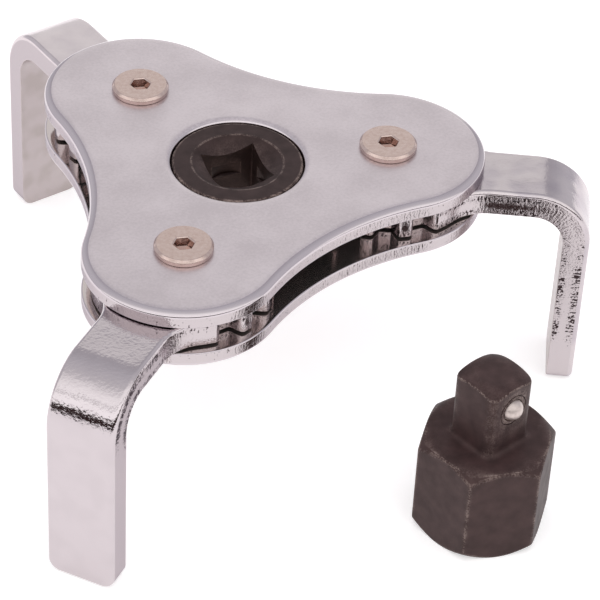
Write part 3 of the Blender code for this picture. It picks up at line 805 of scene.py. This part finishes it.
def hubProfile(angle):
    low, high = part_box("drive_gear")
    middle = (low.z + high.z) / 2
    half = hubShape["square"] / 2 * mm
    turn = math.radians(hubShape["squareTurn"] + 45)
    wall = polygonRadius(angle, half, 4, turn, hubShape["squareSharpness"])
    sink, rim, rounding, edge = metres(hubShape, "countersink", "rim", "rimRounding", "edge")
    core, gap = metres(hubShape, "core", "journalGap")
    fall = (sink - wall) * math.tan(math.radians(hubShape["slope"]))
    groove = max(wall, hubShape["groove"] * mm)
    step = hubShape["grooveWidth"] / 2 * mm
    armLow = armTop - armThickness
    corners = [
        (rim, armTop + gap, 0),
        (rim, high.z, rounding),
        (sink, high.z, edge),
        (wall, high.z - fall, 0),
        (wall, middle + step, 0),
        (groove, middle + step, 0),
        (groove, middle - step, 0),
        (wall, middle - step, 0),
        (wall, low.z, edge),
        (rim, low.z, rounding),
        (rim, armLow - gap, 0),
        (core, armLow - gap, 0),
        (core, armTop + gap, 0),
    ]
    return softened(corners)


def makeHub():
    bm = bmesh.new()
    addTurned(bm, driveAxis, hubProfile, hubShape["steps"], closed=True)
    bm.normal_update()
    blackIndex, squareShadeIndex = range(2)
    upright = 0.3  # how far a wall's normal may rise and still take the painted shade
    # upright walls inside the countersink take the painted shade
    for face in bm.faces:
        inside = (face.calc_center_median().xy - driveAxis).length < hubShape["countersink"] * mm
        face.material_index = squareShadeIndex if inside and abs(face.normal.z) < upright else blackIndex
    outline = []
    for index in range(toothShape["hubTeeth"]):
        outline += toothGap((index + 0.5) * 2 * math.pi / toothShape["hubTeeth"], hubPitch)
    outline = [driveAxis + point for point in outline]
    inner = hubShape["core"] * mm - hubShape["overlap"] * mm
    hole = arcPoints(driveAxis, inner, 0, 2 * math.pi, hubShape["coreSteps"])[:-1]
    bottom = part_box("bottom_plate")[1].z + hubShape["journalGap"] * mm
    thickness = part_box("top_plate")[0].z - hubShape["journalGap"] * mm - bottom
    roundings = [hubShape["toothEdge"] * mm] * len(outline)
    addBlank(bm, outline, roundings, hole, bottom, thickness, [blackIndex] * 3)
    makePiece("driveHub", bm, (hubOxide, squareShadeOxide), "drive", "drive_gear", worn=True)


makeHub()
print("hub made")


# pivot screws and nuts

screwShape = {
    "head": 4.9,
    "headChamfer": 0.38,
    "chamferSlope": 1.15,
    "headSeat": 0.02,  # clear of the plate
    "headEdge": 0.15,
    "shank": 2.5,
    "key": 3.0,
    "keySharpness": 200,
    "keyDepth": 1.8,
    "keyLead": 0.18,  # chamfer round the key's mouth
    "drillPoint": (0.1, 0.5),  # radius and depth under the key
    "endChamfer": 0.3,
    "endCentre": 0.5,
    "edge": 0.08,
    "fineEdge": 0.05,
    "root": 0.02,
    "steps": 120,
}
nutShape = {
    "flat": 4.0,  # axis to a flat
    "sharpness": 120,
    "hole": 2.7,
    "holeChamfer": 0.3,
    "holeEdge": 0.05,
    "endFlat": 3.85,
    "endEdge": 0.1,
    "slope": 30.0,
    "sideEdge": 0.12,
    "seam": 0.05,  # where the profile meets itself, half-way through the hole
    "steps": 120,
}


def makeScrew(number):
    node = f"pivot_screw_{number}"
    low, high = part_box(node)
    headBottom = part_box("top_plate")[1].z + screwShape["headSeat"] * mm

    def profile(angle):
        key = polygonRadius(angle, screwShape["key"] / 2 * mm, 6, 0, screwShape["keySharpness"])
        floor = high.z - screwShape["keyDepth"] * mm
        head, bevel, shank, chamfer = metres(screwShape, "head", "headChamfer", "shank", "endChamfer")
        lead, edge, fine, root = metres(screwShape, "keyLead", "edge", "fineEdge", "root")
        pointRadius, pointDepth = screwShape["drillPoint"]
        corners = [
            (pointRadius * mm, floor - pointDepth * mm, 0),
            (key, floor, root),
            (key, high.z - lead, fine),
            (key + lead, high.z, edge),
            (head - bevel, high.z, edge),
            (head, high.z - bevel * screwShape["chamferSlope"], edge),
            (head, headBottom, screwShape["headEdge"] * mm),
            (shank, headBottom, root),
            (shank, low.z + chamfer, fine),
            (shank - chamfer, low.z, fine),
            (screwShape["endCentre"] * mm, low.z, 0),
        ]
        return softened(corners, steps=5)

    bm = bmesh.new()
    addTurned(bm, pivots[number - 1], profile, screwShape["steps"])
    makePiece(f"pivotScrew{number}", bm, (nickel,), "plates", node)


def makeNut(number):
    node = f"pivot_nut_{number}"
    low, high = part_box(node)

    def profile(angle):
        side = polygonRadius(angle, nutShape["flat"] * mm, 6, 0, nutShape["sharpness"])
        flatEnd, hole, chamfer = metres(nutShape, "endFlat", "hole", "holeChamfer")
        holeEdge, endEdge, sideEdge = metres(nutShape, "holeEdge", "endEdge", "sideEdge")
        fall = (side - flatEnd) * math.tan(math.radians(nutShape["slope"]))
        middle = (low.z + high.z) / 2
        corners = [
            (hole, middle, 0),
            (hole, high.z - chamfer, holeEdge),
            (hole + chamfer, high.z, holeEdge),
            (flatEnd, high.z, endEdge),
            (side, high.z - fall, sideEdge),
            (side, low.z + fall, sideEdge),
            (flatEnd, low.z, endEdge),
            (hole + chamfer, low.z, holeEdge),
            (hole, low.z + chamfer, holeEdge),
            (hole, middle - nutShape["seam"] * mm, 0),
        ]
        return softened(corners, steps=3)

    bm = bmesh.new()
    addTurned(bm, pivots[number - 1], profile, nutShape["steps"], closed=True)
    makePiece(f"pivotNut{number}", bm, (nickel,), "plates", node)


for number in (1, 2, 3):
    makeScrew(number)
    makeNut(number)
print("screws and nuts made")


# drive adapter

adapterShape = {
    "hexFlat": 10.3,  # axis to a flat
    "hexHeight": 18.6,
    "hexTurn": 2.1,
    "hexSharpness": 90,
    "hexEdges": (0.4, 0.35),  # at the top and at the base
    "topSetback": 0.3,  # round top face inside the flats
    "topSlope": 43.0,
    "topEdge": 1.8,
    "baseSetback": 0.1,
    "baseSlope": 46.0,
    "baseEdge": 0.3,
    "tangFlat": 4.75,
    "tangTurn": 30.0,
    "tangSharpness": 160,
    "tangCorner": 6.02,  # axis to the rounded corners
    "cornerBlend": 28,
    "crown": 2.6,  # flat of the domed top
    "crownDrop": 1.05,  # from it down to the corners
    "crownEdge": 0.3,
    "crownSteps": 6,
    "tangFillet": 1.0,
    "socketFlat": 6.4,
    "socketSharpness": 120,
    "socketDepth": 13.0,
    "socketPoint": 1.0,  # the drill's cone above it
    "socketLead": 0.6,
    "socketEdge": 0.1,
    "centre": 0.6,  # radius of the small flats on the axis
    "steps": 480,
}
detentShape = {
    "ball": 1.98,  # 5/32 inch
    "mouth": 2.04,
    "mouthDepth": 0.4,
    "bore": 2.13,
    "boreDepth": 8.2,  # room for the spring and for the ball pressed in
    "stake": (2.62, 2.84),  # ring struck round the bore to keep the ball in
    "stakeDepth": 0.18,
    "cutPast": 1.0,  # the cutters start this far outside the face
    "cutCentre": 0.2,
    "cutSteps": 64,
    "undersideShare": 0.5,  # share of the ball's radius under its centre where the dark brown underside starts
}
tangTop = Vector(mounts["adapter_tang_top"]["pos_m"])
ballLow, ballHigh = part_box("detent_ball")
ballCentre = (ballLow + ballHigh) / 2


def adapterProfile(angle):
    top = tangTop.z
    hexTop, flat, centre = metres(adapterShape, "hexHeight", "hexFlat", "centre")
    tangFlat, tangCorner, crown, drop = metres(adapterShape, "tangFlat", "tangCorner", "crown", "crownDrop")
    socketFlat, lead, depth = metres(adapterShape, "socketFlat", "socketLead", "socketDepth")
    hexTurn = math.radians(adapterShape["hexTurn"])
    side = polygonRadius(angle, flat, 6, hexTurn, adapterShape["hexSharpness"])
    squareTurn = math.radians(adapterShape["tangTurn"] + 45)
    square = polygonRadius(angle, tangFlat, 4, squareTurn, adapterShape["tangSharpness"])
    blend = adapterShape["cornerBlend"]
    tang = (square ** -blend + tangCorner ** -blend) ** (-1 / blend)
    dome = ((tangCorner - crown) ** 2 + drop ** 2) / (2 * drop)
    shoulder = flat - adapterShape["topSetback"] * mm
    hexFall = (side - shoulder) * math.tan(math.radians(adapterShape["topSlope"]))
    foot = flat - adapterShape["baseSetback"] * mm
    rise = (side - foot) * math.tan(math.radians(adapterShape["baseSlope"]))
    socket = polygonRadius(angle, socketFlat, 4, squareTurn, adapterShape["socketSharpness"])
    upperEdge, lowerEdge = [edge * mm for edge in adapterShape["hexEdges"]]
    socketEdge = adapterShape["socketEdge"] * mm
    crownSteps = adapterShape["crownSteps"]
    corners = [(centre, top, 0)]
    for step in range(crownSteps + 1):
        out = crown + (tang - crown) * step / crownSteps
        fall = dome - math.sqrt(dome ** 2 - (out - crown) ** 2)
        corners.append((out, top - fall, adapterShape["crownEdge"] * mm if step == crownSteps else 0))
    corners += [
        (tang, hexTop, adapterShape["tangFillet"] * mm),
        (shoulder, hexTop, adapterShape["topEdge"] * mm),
        (side, hexTop - hexFall, upperEdge),
        (side, rise, lowerEdge),
        (foot, 0, adapterShape["baseEdge"] * mm),
        (socket + lead, 0, socketEdge),
        (socket, lead, socketEdge),
        (socket, depth, socketEdge),
        (centre, depth + adapterShape["socketPoint"] * mm, 0),
    ]
    return softened(corners, steps=6)


def makeAdapter():
    bm = bmesh.new()
    addTurned(bm, tangTop.xy, adapterProfile, adapterShape["steps"])
    face = adapterShape["tangFlat"] * mm
    outside = face + detentShape["cutPast"] * mm
    centre, mouth, bore = metres(detentShape, "cutCentre", "mouth", "bore")
    mouthEnd = face - detentShape["mouthDepth"] * mm
    boreEnd = face - detentShape["boreDepth"] * mm
    boreCut = [(centre, outside), (mouth, outside), (mouth, mouthEnd)]
    boreCut += [(bore, mouthEnd), (bore, boreEnd), (centre, boreEnd)]
    near, far = [radius * mm for radius in detentShape["stake"]]
    stakeEnd = face - detentShape["stakeDepth"] * mm
    stakeCut = [(near, outside), (far, outside), (far, stakeEnd), (near, stakeEnd)]
    cutter = bmesh.new()
    for cut, closed in ((boreCut, False), (stakeCut, True)):
        profile = [Vector(corner) for corner in cut]
        addTurned(cutter, Vector((0, 0)), lambda angle: profile, detentShape["cutSteps"], closed)
    outward = Vector((ballCentre.x - tangTop.x, ballCentre.y - tangTop.y, 0)).normalized()
    aim = outward.to_track_quat("Z", "Y").to_matrix().to_4x4()
    cutter.transform(Matrix.Translation((tangTop.x, tangTop.y, ballCentre.z)) @ aim)
    bm = cutAway(bm, cutter)
    makePiece("driveAdapter", bm, (oxide,), "adapter", "adapter_body", worn=True)


def makeBall():
    bm = bmesh.new()
    bmesh.ops.create_icosphere(bm, subdivisions=5, radius=detentShape["ball"] * mm)
    undersideTop = -detentShape["undersideShare"] * detentShape["ball"] * mm
    steelIndex, undersideIndex = range(2)
    # faces low on the ball take the dark brown, so the ball is darker towards the bottom
    for face in bm.faces:
        face.material_index = undersideIndex if face.calc_center_median().z < undersideTop else steelIndex
    bm.transform(Matrix.Translation(ballCentre))
    makePiece("detentBall", bm, (ballSteel, ballUndersideBrown), "detent", "detent_ball")


makeAdapter()
makeBall()
# what is hidden inside keeps its plain solids
for name, node in frame["nodes"].items():
    if name.startswith(("pivot_sleeve", "thrust_washer", "detent_spring")):
        node.material_slots[0].link = "OBJECT"
        node.material_slots[0].material = plainSteel
print("adapter made")


# floor, light and camera

studio = {
    "floorSize": 3.0,  # metres to each side
    "floorColor": "#e9e7e7",
    "floorGlow": 0.45,  # what camera and mirror rays see added, up to white
    "heading": -13.458,  # the camera's turn, which the light tent shares
    "sideReach": 0.6,  # how far to each side the tent changes as it does upwards
    "sidePlace": (0.1, 0.43),  # which of the bands below lie straight ahead and at that reach
    "panelSize": 0.8,  # metres, as its height
    "panelHeight": 0.7,
    "panelPower": 0.9,
}


def makeFloor():
    # white sweep paper: matt, and lit a little for the camera and for what mirrors it
    bm = bmesh.new()
    bmesh.ops.create_grid(bm, x_segments=8, y_segments=8, size=studio["floorSize"])
    floor = addMesh("floor", bm)
    material, tree, shader = newMaterial("sweepPaper", studio["floorColor"], metallic=0.0)
    path = addNode(tree, "LightPath")
    seen = addNode(
        tree,
        "Math",
        {"operation": "MAXIMUM"},
        {0: path.outputs["Is Camera Ray"], 1: path.outputs["Is Glossy Ray"]},
    )
    both = addNode(tree, "Math", {"operation": "MAXIMUM"}, {0: seen, 1: path.outputs["Is Transmission Ray"]})
    glow = addNode(tree, "Math", {"operation": "MULTIPLY", 1: studio["floorGlow"]}, {0: both})
    settings = {"Roughness": 0.9, "Specular IOR Level": 0.0, "Emission Color": (1, 1, 1, 1)}
    fillNode(tree, shader, settings, {"Emission Strength": glow})
    floor.data.materials.append(material)


def makeTent():
    # a light tent: white card ahead, grey past its edge and lighter overhead, then a softbox with a
    # seam across it behind the camera, and dark under that
    world = bpy.data.worlds.new("lightTent")
    bpy.context.scene.world = world
    world.use_nodes = True
    tree = world.node_tree
    turn = math.radians(studio["heading"])
    ahead = (-math.sin(turn), math.cos(turn), 0)
    right = (math.cos(turn), math.sin(turn), 0)
    direction = addNode(tree, "TexCoord").outputs["Generated"]
    height = addNode(tree, "SeparateXYZ", {}, {0: direction})
    forward = addNode(tree, "VectorMath", {"operation": "DOT_PRODUCT", 1: ahead}, {0: direction})
    across = addNode(tree, "VectorMath", {"operation": "DOT_PRODUCT", 1: right}, {0: direction})
    lift = addNode(
        tree, "Math", {"operation": "ARCTAN2"}, {0: height.outputs["Z"], 1: forward.outputs["Value"]}
    )
    arch = addNode(tree, "MapRange", {"From Max": math.pi}, {"Value": lift})
    side = addNode(tree, "Math", {"operation": "ABSOLUTE"}, {0: across.outputs["Value"]})
    nearest, furthest = studio["sidePlace"]
    beside = addNode(
        tree,
        "MapRange",
        {"From Max": studio["sideReach"], "To Min": nearest, "To Max": furthest},
        {"Value": side},
    )
    place = addNode(tree, "Math", {"operation": "MAXIMUM"}, {0: arch, 1: beside})
    # place from the horizon ahead, over the top, to the horizon behind, and the light's colour there
    stops = [
        (0.0, (0.92, 0.92, 0.92)),
        (0.2, (0.94, 0.94, 0.94)),
        (0.235, (0.89, 0.89, 0.89)),
        (0.252, (0.54, 0.53, 0.57)),
        (0.33, (0.60, 0.60, 0.64)),
        (0.43, (0.71, 0.71, 0.75)),
        (0.52, (0.81, 0.81, 0.83)),
        (0.60, (1.20, 1.20, 1.20)),
        (0.72, (1.45, 1.45, 1.45)),
        (0.74, (0.50, 0.50, 0.50)),
        (0.76, (1.45, 1.45, 1.45)),
        (0.885, (1.50, 1.50, 1.50)),
        (0.905, (0.05, 0.03, 0.03)),
        (1.0, (0.04, 0.024, 0.024)),
    ]
    bands = addNode(tree, "ValToRGB", {"stops": [(where, (*color, 1)) for where, color in stops]}, {0: place})
    fillNode(tree, tree.nodes["Background"], links={"Color": bands})


def makePanel():
    # a soft panel overhead for the matt surfaces; what metal mirrors is the tent
    data = bpy.data.lights.new("overheadPanel", "AREA")
    data.size = studio["panelSize"]
    data.energy = studio["panelPower"]
    panel = addObject("overheadPanel", data)
    panel.location.z = studio["panelHeight"]
    panel.visible_glossy = False


cameraShape = {
    "lens": 168.676,
    "sensor": 36.0,
    "place": (-77.069, -372.746, 325.4),  # from the drive axis, at floor height
    "tilt": 50.679,
    "roll": 3.201,
}


def makeCamera():
    data = bpy.data.cameras.new("camera")
    data.lens = cameraShape["lens"]
    data.sensor_width = cameraShape["sensor"]
    data.clip_start = 0.01
    camera = addObject("camera", data)
    turn = Matrix.Rotation(math.radians(studio["heading"]), 4, "Z")
    tilt = Matrix.Rotation(math.radians(cameraShape["tilt"]), 4, "X")
    roll = Matrix.Rotation(math.radians(cameraShape["roll"]), 4, "Z")
    place = Vector(cameraShape["place"]) * mm + driveAxis.to_3d()
    camera.matrix_world = Matrix.Translation(place) @ turn @ tilt @ roll
    bpy.context.scene.camera = camera


makeFloor()
makeTent()
makePanel()
makeCamera()
bpy.context.scene.view_settings.view_transform = "Standard"
print("studio made")
